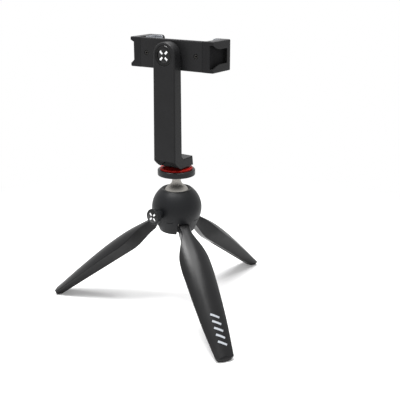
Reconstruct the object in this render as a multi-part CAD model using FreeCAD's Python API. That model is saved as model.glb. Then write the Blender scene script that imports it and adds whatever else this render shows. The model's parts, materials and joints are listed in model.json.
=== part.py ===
import FreeCAD, Part
import math
import os

# Mini tripod with ball head and phone clamp, millimetres.
# Origin on the floor under the ball head's axis, +Z up, +X along the clamp bar.
# The clamp holds a phone on its +Y side.

Vec = FreeCAD.Vector
X, Y, Z = Vec(1, 0, 0), Vec(0, 1, 0), Vec(0, 0, 1)

# Named clearances
running_gap = 0.05      # a shaft in its bore, on the radius
sliding_gap = 0.15      # one moving piece past another
ball_gap = 0.15         # ball to its seat, liner and socket
seating_gap = 0.02      # a fixed piece in its pocket
press_gap = 0.01        # a pressed pin in its bore, on the radius
cap_gap = 0.1            # round the pivot's cap and round a screw's head
split_gap = 0.1         # the seam between a jaw and the clamp body
over = 5.0              # how far a cutting tool runs past what it cuts

# Ball head
ball_centre_z = 100.0
ball_r = 12.0
neck_r = 3.8
neck_root_r = 6.2       # where the neck's fillet leaves the ball
stud_thread_r = 3.0
stud_thread_len = 2.4
head_centre_z = 90.0
head_r = 21.65
head_wall = 2.25
seam_z = 88.0
mouth_r = 10.4
mouth_dish = 0.7        # fall of the dished top face towards the mouth
top_face_r = 13.0
liner_wall = 0.9
liner_low = -0.3        # liner's lower and upper ends above the ball's centre
liner_high = 4.2
brim_drop = 3.0         # slope under the liner's groove, down to the inner wall

# Hub under the seam
hub_cone_top_z = 82.0
hub_cone_low_z = 71.8
hub_corner_in = 1.0     # the rounded corner's middle, in from the cone and up from the floor
hub_corner_up = 0.65
hub_cone_low_r = 15.7
hub_floor_z = 69.2
hub_floor_r = 12.2
deck_z = 85.0
register_wall = 0.7
register_slack = 0.2
register_height = 1.2
pin_slit_z = 81.2       # the slits over the ends of the leg pins
pin_slit_height = 0.7
pin_slit_floor_r = 19.35
pin_slit_turn = 36.5    # from a leg's middle plane, degrees
pin_slit_span = 17.0
spring_pocket_r = 6.4
spring_pocket_z = 82.0
disc_spring_count = 3
disc_spring_t = 0.5
disc_spring_hole_r = 2.6

# Release button, on its own radial axis through the head's centre
button_azimuth = -96.0
button_z = 88.9
button_travel = 2.5
cap_r = 6.9
cap_face_u = 31.0
cap_t = 3.9
cap_edge_r = 0.6
cap_recess_r = 5.6
cap_recess = 0.3
sleeve_r = 3.7
sleeve_root_u = 19.6
rod_r = 2.2
fork_bridge_t = 1.5
fork_tine_w = 2.0
fork_low_z = 87.3
fork_top_z = 91.0
fork_tine_end_u = -5.0
ramp_low_u, ramp_high_u = 6.0, -4.0
seat_drop = 0.4         # how far the seat sinks at full travel
seat_body_r = 9.5
seat_flange_r = 13.0
seat_flange_t = 0.9
seat_rim_z = 91.6
seat_hole_r = 3.0
fork_gap = 0.3          # round the seat's body and under its flange
fork_corner = 2.5
fork_overlap = 0.4

# Platform on the ball stud
disc_r = 16.1
disc_t = 5.0
disc_top_z = 124.6
disc_edge = 0.7
disc_low_edge = 0.3
pad_r = 14.0
pad_rim_t = 1.6
pad_rim_bevel = 0.5
pad_crown_r = 11.2
pad_t = 3.1
mount_screw_r = 3.1     # 1/4 inch thread
mount_screw_reach = 5.2
mount_screw_bevel = 0.6
screw_flange_r = 5.5
screw_flange_t = 1.4

# Legs: s runs down a leg from its pin, n outwards, t across
leg_azimuths = (-36.0, 84.0, 204.0)
leg_pin_r_from_axis = 16.0
leg_pin_z = 80.8
leg_fold = 54.9         # from the open stop to folded, degrees
leg_pin_r = 1.0
leg_pin_half = 8.8
knuckle_r = 2.8
knuckle_relief = 0.25   # the hub slot past the knuckle's round end
slot_relief = 0.6       # the hub slot behind a leg's inner face
knuckle_half = 4.8
washer_t = 0.3
washer_r = 2.5
leg_arc_r = 19.2        # radius of the outer face, about the folded axis
leg_edge = 0.8          # rounding along the creases
ridge_n = -12.9         # the flat inner face
foot_end_s = 126.6
foot_end_arc_r = 13.0
foot_corner_r = 2.6
foot_t = 2.4
foot_peg_r = 1.6
foot_peg_len = 4.0
foot_peg_back = 2.5     # from the foot's end to the peg
foot_peg_up = 3.2       # from the inner face to the peg's axis
rail_start_s, rail_end_s = 48.0, 112.0
rail_half = 2.3
rail_t = 1.4
slot_top_n = 1.5        # the hub slot's upper face above an open leg
# stations down the leg: s, outer n, inner n, half width, half width of the inner face
leg_stations = (
    (0.0, 0.8, -2.6, 4.8, 4.8),
    (8.0, 1.5, -7.3, 4.8, 4.6),
    (14.0, 2.2, -8.1, 5.4, 4.5),
    (20.0, 2.75, -9.6, 7.9, 4.3),
    (27.0, 3.3, -11.5, 10.9, 4.1),
    (34.0, 3.6, -12.7, 13.1, 4.0),
    (44.0, 3.5, ridge_n, 14.0, 4.0),
    (58.0, 2.7, ridge_n, 13.6, 4.0),
    (76.0, 0.9, ridge_n, 12.8, 4.0),
    (95.0, -1.45, ridge_n, 11.5, 4.0),
    (112.0, -3.85, ridge_n, 9.7, 3.8),
    (128.0, -5.8, ridge_n, 7.8, 3.6),
)

# Bracket: an upright post on a foot
post_half = 10.65
heel_half = 10.95       # the post widens down to its heel
post_near_y = -16.3
post_t = 8.9
post_edge = 1.2
pivot_z = 221.6
post_draft = 1.2        # how much thicker the post is at the heel than at the pivot
bracket_foot_t = 8.0
bracket_foot_far_y = 9.3
foot_draft = 0.9        # how far the foot's far face leans in at the top
heel_height = 7.2
heel_depth = 8.7
heel_bulge = 0.45
relief_height = 6.6     # the gabled hollow under the heel
relief_eave = 0.4       # height of its upright sides
relief_half = 10.0
relief_ridge_r = 1.5
pocket_back_y = -7.4
gusset = 2.5
foot_line = 0.3         # the groove below the foot's top edges, square in section
foot_line_drop = 0.45
insert_wall = 1.1
insert_len = 6.2

# Pivot between the bracket and the clamp
pivot_gap = 0.85
pivot_bolt_r = 2.5
pivot_head_r = 4.6
pivot_head_t = 2.6
pivot_cap_r = 8.2
pivot_cap_t = 1.8
cap_disc_r = 6.3
cap_disc_recess = 0.35
pivot_washer_r = 8.0
pivot_nut_r = 4.0
pivot_nut_t = 2.2
pivot_bolt_past = 0.6   # how far the bolt stands past its nut
pivot_boss_wall = 1.9
pivot_boss_len = 3.3

# Clamp body
bar_height = 24.6
bar_edge = 1.2
bar_slope_start = 2.05  # from the near face to where the top and bottom slope inwards
bar_slope = 10.0        # degrees
body_half = 30.5
body_wall = 1.8
body_depth = 7.95       # near shell, front to back
cover_t = 1.6
body_screw_in = 5.9      # from the body's end to a screw
body_screw_r = 1.0
body_screw_head_r = 1.95
body_screw_head_t = 1.1
body_screw_socket_r = 0.9
body_screw_socket_t = 0.66
body_screw_sink = 0.15   # how far a head lies below the near face
body_screw_short = 0.6   # from a screw's tip to the cover's far face
cover_skin = 0.4         # left of the cover behind a screw's hole
screw_boss_r = 2.3
screw_boss_in = 1.0      # from the near face to where a boss starts
rest_pad_in = 6.5        # from the body's end to the rest pad
rest_pad_down = 3.3      # from the bar's top to the rest pad
rest_pad_t = 0.8
rest_pad_corner = 2.0

# Rack and pinion
module = 1.0
pinion_teeth = 14
pinion_t = 2.8
tooth_addendum = 0.8
tooth_dedendum = 1.0
tooth_backlash = 0.12
pressure_angle = 20.0
rack_cover = 2.1        # from the bar's top to the outer edge of a rack
rack_depth = 4.6
rack_tail = 15.3        # how far a rack reaches past the pinion's axis
rack_root_in_jaw = 5.5
rack_teeth = 6
spring_outer_r = 1.7
spring_room = 0.8        # between a spring and the cavity's top or bottom
spring_wire = 0.5
hook_r = 0.6
hook_in = 1.0            # from a rack's tail to its hook hole
hook_floor = 0.2
hook_post_in = 1.2      # from the cavity's end to the post that holds a spring
hook_post_root = 0.5     # how deep a post stands in the wall
hook_post_wall = 0.3
hook_reach = 1.8
spring_clear = 0.3      # from a rack's tail to its spring
spring_stop = 3.2       # the straight part between the coil and the post

# Jaws
jaw_block_len = 2.7     # from the body's end to the inside of a jaw's wall
jaw_wall_t = 7.65
jaw_depth = 27.0
jaw_block_depth = 9.6
lip_reach = 8.0
lip_t = 2.6
jaw_edge = 0.8
jaw_lip_corner = 2.6
jaw_outer_r = 2.0
jaw_travel = 12.5
jaw_pad_t = 1.0
jaw_pad_margin = 0.25     # pad's edge to the lip's, and to the top and bottom
jaw_pad_low = 1.2        # pad's start past the jaw's block
jaw_pad_groove = 0.35
jaw_pad_groove_down = 1.7     # from the bar's top to a groove
shoe_height = 18.7
shoe_mouth = 11.7
shoe_slot = 2.2
shoe_lip = 1.0
shoe_lip_start = 12.0   # from the near face to where the lips run parallel
shoe_lead_r = 20.2
shoe_stop = 20.9        # depth of the channel from the near face


# Worked out from the sizes above
def sphere_r_at(radius, centre_z, z):
    return math.sqrt(radius ** 2 - (z - centre_z) ** 2)


head_inner_r = head_r - head_wall
socket_r = ball_r + ball_gap
liner_outer_r = socket_r + liner_wall
groove_r = liner_outer_r + sliding_gap
top_face_z = head_centre_z + math.sqrt(head_r ** 2 - top_face_r ** 2)
mouth_z = top_face_z - mouth_dish
disc_low_z = disc_top_z - disc_t
pad_top_z = disc_top_z + pad_t
bracket_low_z = pad_top_z
post_far_y = post_near_y + post_t
clamp_near_y = post_far_y + pivot_gap
body_far_y = clamp_near_y + body_depth
clamp_far_y = body_far_y + cover_t
cavity_near_y = clamp_near_y + body_wall
half_bar = bar_height / 2
body_screw_x = body_half - body_screw_in
rest_pad_half_x = body_half - rest_pad_in
rest_pad_half_z = half_bar - rest_pad_down
rack_back = half_bar - rack_cover
jaw_wall_inner = body_half + jaw_block_len
jaw_end = jaw_wall_inner + jaw_wall_t
jaw_pad_groove_z = half_bar - jaw_pad_groove_down
bar_low_z, bar_top_z = pivot_z - half_bar, pivot_z + half_bar
pitch_r = module * pinion_teeth / 2
mech_near_y = cavity_near_y + sliding_gap
pivot_boss_r = pivot_bolt_r + running_gap + pivot_boss_wall
jaw_near_y = clamp_near_y
jaw_far_y = jaw_near_y + jaw_depth
leg_open = 90.0 - leg_fold


def box(low, high):
    size = [b - a for a, b in zip(low, high)]
    return Part.makeBox(size[0], size[1], size[2], Vec(*low))


def cylinder(radius, base, axis, length):
    return Part.makeCylinder(radius, length, base, axis)


def tube(outer, inner, base, axis, length):
    bore = cylinder(inner, base - axis * over, axis, length + 2 * over)
    return cylinder(outer, base, axis, length).cut(bore)


def prism(points, sweep):
    ring = [Vec(*p) for p in points]
    return Part.Face(Part.makePolygon(ring + ring[:1])).extrude(sweep)


def turned(profile):
    """Solid of revolution about Z; a profile entry is (r, z) or (r, z, mid r, mid z) for an arc to it."""
    edges = []
    for start, end in zip(profile, profile[1:] + profile[:1]):
        a, b = Vec(start[0], 0, start[1]), Vec(end[0], 0, end[1])
        if len(end) == 4:
            edges.append(Part.Arc(a, Vec(end[2], 0, end[3]), b).toShape())
        else:
            edges.append(Part.makeLine(a, b))
    return Part.Face(Part.Wire(edges)).revolve(Vec(), Z, 360)


def joined(pieces):
    return pieces[0].multiFuse(list(pieces[1:])).removeSplitter()


def rounded_edges(shape, radius, wanted):
    edges = [e for e in shape.Edges if wanted(e)]
    return shape.makeFillet(radius, edges)


def along(edge, axis):
    direction = edge.tangentAt(edge.FirstParameter)
    return edge.Curve.TypeId == "Part::GeomLine" and abs(abs(direction.dot(axis)) - 1) < 1e-6


def at_azimuth(shape, degrees):
    copy = shape.copy()
    copy.rotate(Vec(), Z, degrees)
    return copy


def save(name, shape):
    shape.exportStep(f"parts/{name}.step")


# Hub and head

def leg_frame(shape):
    """Place a piece drawn down +X, outwards +Z, onto an open leg at azimuth 0."""
    copy = shape.copy()
    copy.rotate(Vec(), Y, leg_open)
    copy.translate(Vec(leg_pin_r_from_axis, 0, leg_pin_z))
    return copy


def leg_slot():
    half = knuckle_half + washer_t + running_gap
    round_r = knuckle_r + knuckle_relief
    slope = math.radians(leg_open)
    far = 2 * head_r

    def top_z(r):
        rise = slot_top_n - math.sin(slope) * (r - leg_pin_r_from_axis)
        return leg_pin_z + rise / math.cos(slope)

    ring = [(leg_pin_r_from_axis - round_r, leg_pin_z)]
    for station in leg_stations[1:3]:
        ring.append((leg_pin_r_from_axis + station[2] - slot_relief, leg_pin_z - station[0]))
    ring.append((ring[-1][0], hub_floor_z - over))
    ring.append((far, hub_floor_z - over))
    ring.append((far, top_z(far)))
    ring.append((leg_pin_r_from_axis, top_z(leg_pin_r_from_axis)))
    sweep = prism([(r, -half, z) for r, z in ring], Y * 2 * half)
    knuckle = cylinder(round_r, Vec(leg_pin_r_from_axis, -half, leg_pin_z), Y, 2 * half)
    return sweep.fuse(knuckle)


def button_hole():
    hole_r = sleeve_r + sliding_gap
    tool = cylinder(hole_r, Vec(head_inner_r - over, 0, button_z), X, head_wall + 2 * over)
    return at_azimuth(tool, button_azimuth)


def pin_slits():
    """The thin slits over both ends of the pin of a leg at azimuth 0."""
    base = Vec(0, 0, pin_slit_z)
    core = cylinder(pin_slit_floor_r, base, Z, pin_slit_height)
    slits = []
    for side in (-1, 1):
        sector = Part.makeCylinder(head_r + over, pin_slit_height, base, Z, pin_slit_span)
        slits.append(at_azimuth(sector.cut(core), side * pin_slit_turn - pin_slit_span / 2))
    return slits


def hub_base():
    cone_r = sphere_r_at(head_r, head_centre_z, hub_cone_top_z)
    seam_r = sphere_r_at(head_r, head_centre_z, seam_z)
    mid_z = (seam_z + hub_cone_top_z) / 2
    register_r = sphere_r_at(head_inner_r, head_centre_z, seam_z) - seating_gap - register_slack
    inner_r = register_r - register_wall
    corner = (hub_cone_low_r - hub_corner_in, hub_floor_z + hub_corner_up)
    profile = [
        (0, hub_floor_z), (hub_floor_r, hub_floor_z),
        (hub_cone_low_r, hub_cone_low_z) + corner,
        (cone_r, hub_cone_top_z),
        (seam_r, seam_z, sphere_r_at(head_r, head_centre_z, mid_z), mid_z),
        (register_r, seam_z), (register_r, seam_z + register_height),
        (inner_r, seam_z + register_height), (inner_r, deck_z),
        (spring_pocket_r, deck_z), (spring_pocket_r, spring_pocket_z), (0, spring_pocket_z),
    ]
    hub = turned(profile)
    bore_half = leg_pin_half + running_gap
    pin_bore = cylinder(leg_pin_r + press_gap, Vec(leg_pin_r_from_axis, -bore_half, leg_pin_z), Y,
                        2 * bore_half)
    at_leg = [leg_slot(), pin_bore] + pin_slits()
    cuts = [at_azimuth(tool, azimuth) for azimuth in leg_azimuths for tool in at_leg]
    return hub.cut(cuts + [button_hole()])


def head_shell():
    inner_seam_r = sphere_r_at(head_inner_r, head_centre_z, seam_z)
    outer_seam_r = sphere_r_at(head_r, head_centre_z, seam_z)
    mid_z = (seam_z + top_face_z) / 2
    lip_z = ball_centre_z + math.sqrt(socket_r ** 2 - mouth_r ** 2)
    socket_top = ball_centre_z + liner_high + sliding_gap
    socket_mid = (lip_z + socket_top) / 2
    groove_low = ball_centre_z + liner_low - sliding_gap
    brim_z = groove_low - brim_drop
    brim_mid = (brim_z + seam_z) / 2
    profile = [
        (outer_seam_r, seam_z),
        (top_face_r, top_face_z, sphere_r_at(head_r, head_centre_z, mid_z), mid_z),
        (mouth_r, mouth_z), (mouth_r, lip_z),
        (sphere_r_at(socket_r, ball_centre_z, socket_top), socket_top,
         sphere_r_at(socket_r, ball_centre_z, socket_mid), socket_mid),
        (groove_r, socket_top), (groove_r, groove_low),
        (sphere_r_at(head_inner_r, head_centre_z, brim_z), brim_z),
        (inner_seam_r, seam_z, sphere_r_at(head_inner_r, head_centre_z, brim_mid), brim_mid),
    ]
    return turned(profile).cut(button_hole())


def ball_liner():
    low = Vec(0, 0, ball_centre_z + liner_low)
    ring = cylinder(liner_outer_r, low, Z, liner_high - liner_low)
    return ring.cut(Part.makeSphere(socket_r, Vec(0, 0, ball_centre_z)))


def ramp_z(u):
    """Height of the sliding face between the fork and the seat, at rest."""
    slope = seat_drop / button_travel
    return fork_low_z + slope * (ramp_low_u - u)


def tine_span():
    inner = seat_body_r + fork_gap
    return inner, inner + fork_tine_w


def release_fork():
    tine_in, tine_out = tine_span()
    bridge_u = seat_body_r + button_travel + fork_gap
    side = [
        (fork_tine_end_u, fork_top_z), (bridge_u, fork_top_z), (bridge_u, fork_low_z),
        (ramp_low_u, fork_low_z), (fork_tine_end_u, ramp_z(fork_tine_end_u)),
    ]
    tines = [prism([(u, t, z) for u, z in side], Y * fork_tine_w) for t in (tine_in, -tine_out)]
    plan = [
        (bridge_u, -tine_out), (bridge_u + fork_bridge_t, -tine_out + fork_corner),
        (bridge_u + fork_bridge_t, tine_out - fork_corner), (bridge_u, tine_out),
    ]
    bridge = prism([(u, t, fork_low_z) for u, t in plan], Z * (fork_top_z - fork_low_z))
    rod_end = cap_face_u - cap_t / 2 - running_gap
    rod_start = bridge_u + fork_bridge_t - fork_overlap
    rod = cylinder(rod_r, Vec(rod_start, 0, button_z), X, rod_end - rod_start)
    return at_azimuth(joined(tines + [bridge, rod]), button_azimuth)


def ball_seat():
    flange_low = deck_z + seat_drop + fork_gap
    flange_top = flange_low + seat_flange_t
    body = cylinder(seat_body_r, Vec(0, 0, flange_low), Z, seat_rim_z - flange_low)
    flange = cylinder(seat_flange_r, Vec(0, 0, flange_low), Z, seat_flange_t)
    tine_in, tine_out = tine_span()
    side = [
        (ramp_high_u, flange_top - fork_overlap), (ramp_low_u, flange_top - fork_overlap),
        (ramp_low_u, ramp_z(ramp_low_u) - running_gap), (ramp_high_u, ramp_z(ramp_high_u) - running_gap),
    ]
    ramp_w = fork_tine_w - 2 * running_gap
    ramps = [prism([(u, t, z) for u, z in side], Y * ramp_w) for t in (tine_in, -tine_in - ramp_w)]
    ramps = [at_azimuth(r, button_azimuth) for r in ramps]
    cup = joined([body, flange] + ramps)
    hole = cylinder(seat_hole_r, Vec(0, 0, flange_low - over), Z, 4 * over)
    return cup.cut([Part.makeSphere(socket_r, Vec(0, 0, ball_centre_z)), hole])


def seat_springs():
    low = spring_pocket_z + seating_gap
    high = deck_z + seat_drop + fork_gap - seating_gap
    pitch = (high - low) / disc_spring_count
    outer = spring_pocket_r - sliding_gap
    discs = []
    for i in range(disc_spring_count):
        base = low + i * pitch
        rise = pitch - disc_spring_t - seating_gap
        near, far = (disc_spring_hole_r, outer) if i % 2 else (outer, disc_spring_hole_r)
        discs.append(turned([
            (near, base), (near, base + disc_spring_t),
            (far, base + disc_spring_t + rise), (far, base + rise),
        ]))
    return Part.makeCompound(discs)


def button_cap():
    back_u = cap_face_u - cap_t
    head = cylinder(cap_r, Vec(back_u, 0, button_z), X, cap_t)
    head = rounded_edges(head, cap_edge_r, lambda e: e.Curve.TypeId == "Part::GeomCircle")
    sleeve = cylinder(sleeve_r, Vec(sleeve_root_u, 0, button_z), X, back_u - sleeve_root_u + 1)
    recess = cylinder(cap_recess_r, Vec(cap_face_u - cap_recess, 0, button_z), X, over)
    bore = cylinder(rod_r + running_gap, Vec(sleeve_root_u - over, 0, button_z), X,
                    cap_face_u - cap_t / 2 - sleeve_root_u + over)
    return at_azimuth(joined([head, sleeve]).cut([recess, bore]), button_azimuth)


# Legs

def cut_corner(corner, before, after, cut):
    """The two points that take a corner's place once it is bevelled."""
    return corner + (before - corner).normalize() * cut, corner + (after - corner).normalize() * cut


def leg_section(s, outer_n, inner_n, half, ridge_half):
    drop = leg_arc_r - math.sqrt(leg_arc_r ** 2 - half ** 2)
    crest = Vec(s, 0, outer_n)
    crease = Vec(s, half, outer_n - drop)
    ridge = Vec(s, ridge_half, inner_n)
    upper = cut_corner(crease, crest, ridge, leg_edge)
    lower = cut_corner(ridge, crease, Vec(s, 0, inner_n), leg_edge / 2)
    points = list(upper + lower)
    points += [Vec(p.x, -p.y, p.z) for p in reversed(points)]
    edges = [Part.Arc(points[-1], crest, points[0]).toShape()]
    edges += [Part.makeLine(start, end) for start, end in zip(points, points[1:])]
    return Part.Wire(edges)


def foot_end_tools():
    """What is cut off a leg's end: an arc across it and a rounded outer corner."""
    last = leg_stations[-1]
    tall = 3 * abs(ridge_n)
    start = foot_end_s - foot_end_arc_r
    block = box((start, -tall, -tall), (foot_end_s + 4 * over, tall, tall))
    across = block.cut(cylinder(foot_end_arc_r, Vec(start, 0, -tall), Z, 2 * tall))
    corner_s = foot_end_s - foot_corner_r
    corner_n = last[1] - foot_corner_r
    outer = box((corner_s, -tall, corner_n), (foot_end_s + 4 * over, tall, tall))
    outer = outer.cut(cylinder(foot_corner_r, Vec(corner_s, -tall, corner_n), Y, 2 * tall))
    return [across, outer]


def leg_blank():
    """A whole leg with its foot, open at azimuth 0, before it is split."""
    sections = [leg_section(*station) for station in leg_stations]
    neck = Part.makeLoft(sections[:2], True, True)
    blade = Part.makeLoft(sections[1:], True, False, False, 2)
    knuckle = cylinder(knuckle_r, Vec(0, -knuckle_half, 0), Y, 2 * knuckle_half)
    blank = blade.fuse([neck, knuckle]).cut(foot_end_tools())
    bore = cylinder(leg_pin_r + running_gap, Vec(0, -2 * knuckle_half, 0), Y, 4 * knuckle_half)
    return leg_frame(blank.cut(bore))


def rail(clearance=0.0, stand_out=0.0):
    low, high = rail_start_s - clearance, rail_end_s + clearance
    half = rail_half + clearance
    bar = box((low, -half, ridge_n - stand_out), (high, half, ridge_n + rail_t + clearance))
    bar = rounded_edges(bar, half * 0.9, lambda e: along(e, Z))
    return leg_frame(bar)


def foot_peg(radius):
    base = Vec(foot_end_s - foot_peg_len - foot_peg_back, 0, ridge_n + foot_peg_up)
    return leg_frame(cylinder(radius, base, X, foot_peg_len))


def leg_pieces():
    blank = leg_blank()
    far = 3 * foot_end_s
    below = box((0, -far, -far), (far, far, foot_t))
    floor = box((0, -far, -far), (far, far, 0))
    shell = blank.cut([below, rail(seating_gap, over), foot_peg(foot_peg_r + seating_gap)])
    pad = blank.common(below).cut(floor).fuse(foot_peg(foot_peg_r))
    pad = pad.cut(floor)
    return {"leg_shell": shell, "leg_rail": rail(), "foot_pad": pad}


def leg_pin():
    base = Vec(leg_pin_r_from_axis, -leg_pin_half, leg_pin_z)
    return cylinder(leg_pin_r, base, Y, 2 * leg_pin_half)


def leg_washers():
    pieces = []
    start = knuckle_half + running_gap / 2
    for side in (-1, 1):
        base = Vec(leg_pin_r_from_axis, side * start, leg_pin_z)
        pieces.append(tube(washer_r, leg_pin_r + seating_gap, base, Y * side, washer_t))
    return pieces


# Ball stud and platform

def ball_stud():
    root_h = math.sqrt(ball_r ** 2 - neck_root_r ** 2)
    turn = math.acos(neck_root_r / ball_r)
    fillet_r = (neck_root_r - neck_r) / (1 - math.cos(turn))
    neck_low_z = ball_centre_z + root_h + fillet_r * math.sin(turn)
    mid_r = neck_r + fillet_r * (1 - math.cos(turn / 2))
    mid_z = neck_low_z - fillet_r * math.sin(turn / 2)
    profile = [
        (0, ball_centre_z - ball_r),
        (neck_root_r, ball_centre_z + root_h, ball_r, ball_centre_z),
        (neck_r, neck_low_z, mid_r, mid_z),
        (neck_r, disc_low_z), (stud_thread_r, disc_low_z),
        (stud_thread_r, disc_low_z + stud_thread_len), (0, disc_low_z + stud_thread_len),
    ]
    return turned(profile)


def platform_disc():
    profile = [
        (0, disc_low_z), (disc_r - disc_low_edge, disc_low_z), (disc_r, disc_low_z + disc_low_edge),
        (disc_r, disc_top_z - disc_edge), (disc_r - disc_edge, disc_top_z), (0, disc_top_z),
    ]
    seat = cylinder(screw_flange_r + seating_gap, Vec(0, 0, disc_top_z - screw_flange_t), Z, over)
    thread = cylinder(stud_thread_r, Vec(0, 0, disc_low_z - over), Z, over + stud_thread_len)
    return turned(profile).cut([seat, thread])


def platform_pad():
    profile = [
        (0, disc_top_z), (pad_r, disc_top_z), (pad_r, disc_top_z + pad_rim_t - pad_rim_bevel),
        (pad_r - pad_rim_bevel, disc_top_z + pad_rim_t), (pad_crown_r, pad_top_z - running_gap),
        (0, pad_top_z - running_gap),
    ]
    bore = cylinder(mount_screw_r + sliding_gap, Vec(0, 0, disc_top_z - over), Z, 3 * over)
    return turned(profile).cut(bore)


def mount_screw():
    base_z = disc_top_z - screw_flange_t
    flange = cylinder(screw_flange_r, Vec(0, 0, base_z), Z, screw_flange_t)
    tip_z = pad_top_z + mount_screw_reach
    shank = cylinder(mount_screw_r, Vec(0, 0, base_z), Z, tip_z - base_z)
    shank = shank.makeChamfer(mount_screw_bevel, [e for e in shank.Edges if e.BoundBox.ZMin > tip_z - 0.1])
    return joined([flange, shank])


# Bracket

def post_near_at(z):
    """The post's near face, which leans out towards the heel."""
    drop = (pivot_z - z) / (pivot_z - bracket_low_z - heel_height)
    return post_near_y - post_draft * drop


def bracket_post():
    foot_top = bracket_low_z + bracket_foot_t
    heel_z = bracket_low_z + heel_height
    top_z = pivot_z + post_half
    heel_top = Vec(0, post_near_at(heel_z), heel_z)
    heel_low = Vec(0, heel_top.y + heel_depth, bracket_low_z)
    outward = Vec(0, heel_low.z - heel_top.z, heel_top.y - heel_low.y).normalize()
    heel_mid = (heel_top + heel_low) * 0.5 + outward * heel_bulge
    outline = [Part.Arc(heel_low, heel_mid, heel_top).toShape()]
    corners = [
        heel_top, Vec(0, post_near_at(top_z), top_z), Vec(0, post_far_y, top_z),
        Vec(0, post_far_y, foot_top + gusset), Vec(0, post_far_y + gusset, foot_top),
        Vec(0, bracket_foot_far_y - foot_draft, foot_top), Vec(0, bracket_foot_far_y, bracket_low_z),
        heel_low,
    ]
    outline += [Part.makeLine(a, b) for a, b in zip(corners, corners[1:])]
    face = Part.Face(Part.Wire(outline))
    face.translate(Vec(-heel_half, 0, 0))
    body = face.extrude(X * 2 * heel_half).common(post_front())
    return rounded_edges(body, post_edge, near_face_edge)


def post_front():
    """The post seen from the front, round at the top and wider at the heel, drawn out along Y."""
    sides = [Vec(post_half, 0, pivot_z), Vec(heel_half, 0, bracket_low_z)]
    sides += [Vec(-p.x, 0, p.z) for p in reversed(sides)]
    outline = [Part.makeLine(a, b) for a, b in zip(sides, sides[1:])]
    outline.append(Part.Arc(sides[-1], Vec(0, 0, pivot_z + post_half), sides[0]).toShape())
    face = Part.Face(Part.Wire(outline))
    face.translate(Y * (post_near_y - 2 * over))
    return face.extrude(Y * (bracket_foot_far_y - post_near_y + 4 * over))


def foot_lines():
    """What is cut for the thin grooves below the foot's top edges."""
    top = bracket_low_z + bracket_foot_t - foot_line_drop
    start, end = post_far_y + gusset, bracket_foot_far_y + over
    edge = heel_half - foot_line
    return [box((min(side * edge, side * 2 * edge), start, top - foot_line),
                (max(side * edge, side * 2 * edge), end, top)) for side in (-1, 1)]


def near_face_edge(edge):
    """An edge round the post's near face, above the heel."""
    on_face = all(abs(v.Y - post_near_at(v.Z)) < 0.01 for v in edge.Vertexes)
    return on_face and edge.BoundBox.ZMax > bracket_low_z + heel_height + 1


def heel_relief():
    """A gabled hollow under the heel, its ridge along Y."""
    low = bracket_low_z - over
    eave = bracket_low_z + relief_eave
    ridge = bracket_low_z + relief_height
    ring = [(-relief_half, low), (relief_half, low), (relief_half, eave), (0, ridge), (-relief_half, eave)]
    start = post_near_y - 2 * over
    hollow = prism([(x, start, z) for x, z in ring], Y * (pocket_back_y - start))
    return rounded_edges(hollow, relief_ridge_r, lambda e: e.BoundBox.ZMin > ridge - 0.01)


def bracket():
    insert_r = mount_screw_r + running_gap + insert_wall
    low = Vec(0, 0, bracket_low_z - over)
    insert_bore = cylinder(insert_r + seating_gap, low, Z, over + insert_len + running_gap)
    at = Vec(0, post_near_y, pivot_z)
    cap_seat = cylinder(pivot_cap_r + cap_gap, at - Y * over, Y, over + pivot_cap_t)
    head_seat = cylinder(pivot_head_r + seating_gap, at - Y * over, Y, over + pivot_cap_t + pivot_head_t)
    bolt_bore = cylinder(pivot_bolt_r + seating_gap, at, Y, 3 * over)
    return bracket_post().cut([heel_relief(), insert_bore, cap_seat, head_seat, bolt_bore] + foot_lines())


def thread_insert():
    inner = mount_screw_r + running_gap
    return tube(inner + insert_wall, inner, Vec(0, 0, bracket_low_z), Z, insert_len)


def pivot_cap():
    at = Vec(0, post_near_y, pivot_z)
    disc = cylinder(pivot_cap_r, at, Y, pivot_cap_t)
    return disc.cut(cylinder(cap_disc_r, at - Y * over, Y, over + cap_disc_recess))


def pivot_bolt():
    start = Vec(0, post_near_y + pivot_cap_t, pivot_z)
    head = cylinder(pivot_head_r, start, Y, pivot_head_t)
    shank_end = cavity_near_y + pivot_boss_len + pivot_nut_t + pivot_bolt_past
    return joined([head, cylinder(pivot_bolt_r, start, Y, shank_end - start.y)])


def pivot_washer():
    base = Vec(0, post_far_y, pivot_z)
    return tube(pivot_washer_r, pivot_bolt_r + seating_gap, base, Y, pivot_gap - running_gap)


def pivot_nut():
    base = Vec(0, cavity_near_y + pivot_boss_len + running_gap, pivot_z)
    turns = [math.radians(60 * i) for i in range(6)]
    ring = [(pivot_nut_r * math.cos(a), base.y, pivot_z + pivot_nut_r * math.sin(a)) for a in turns]
    bore = cylinder(pivot_bolt_r + seating_gap, base - Y * over, Y, 3 * over)
    return prism(ring, Y * pivot_nut_t).cut(bore)


# Clamp

def bar_half_at(y):
    """Half the bar's height, which shrinks towards the back."""
    past = max(0, y - clamp_near_y - bar_slope_start)
    return half_bar - past * math.tan(math.radians(bar_slope))


def bar_section(near_y, far_y):
    """The bar's outline in Y and Z about its own axis, between two depths."""
    depths = [near_y, far_y]
    if near_y < clamp_near_y + bar_slope_start < far_y:
        depths.insert(1, clamp_near_y + bar_slope_start)
    upper = [(y, bar_half_at(y)) for y in depths]
    return upper + [(y, -z) for y, z in reversed(upper)]


def clamp_blank(near_y, far_y, half_x):
    return prism([(-half_x, y, pivot_z + z) for y, z in bar_section(near_y, far_y)], X * 2 * half_x)


def rack_window(side):
    """The way out of the clamp body for one rack; side -1 is the left rack, above the pinion."""
    reach = -side
    low = pitch_r - tooth_addendum - sliding_gap
    high = rack_back + sliding_gap
    z_low, z_high = sorted((pivot_z + reach * low, pivot_z + reach * high))
    x_low, x_high = sorted((side * (body_half - 2 * body_wall), side * (body_half + over)))
    return box((x_low, mech_near_y - sliding_gap, z_low),
               (x_high, mech_near_y + rack_depth + sliding_gap, z_high))


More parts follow.
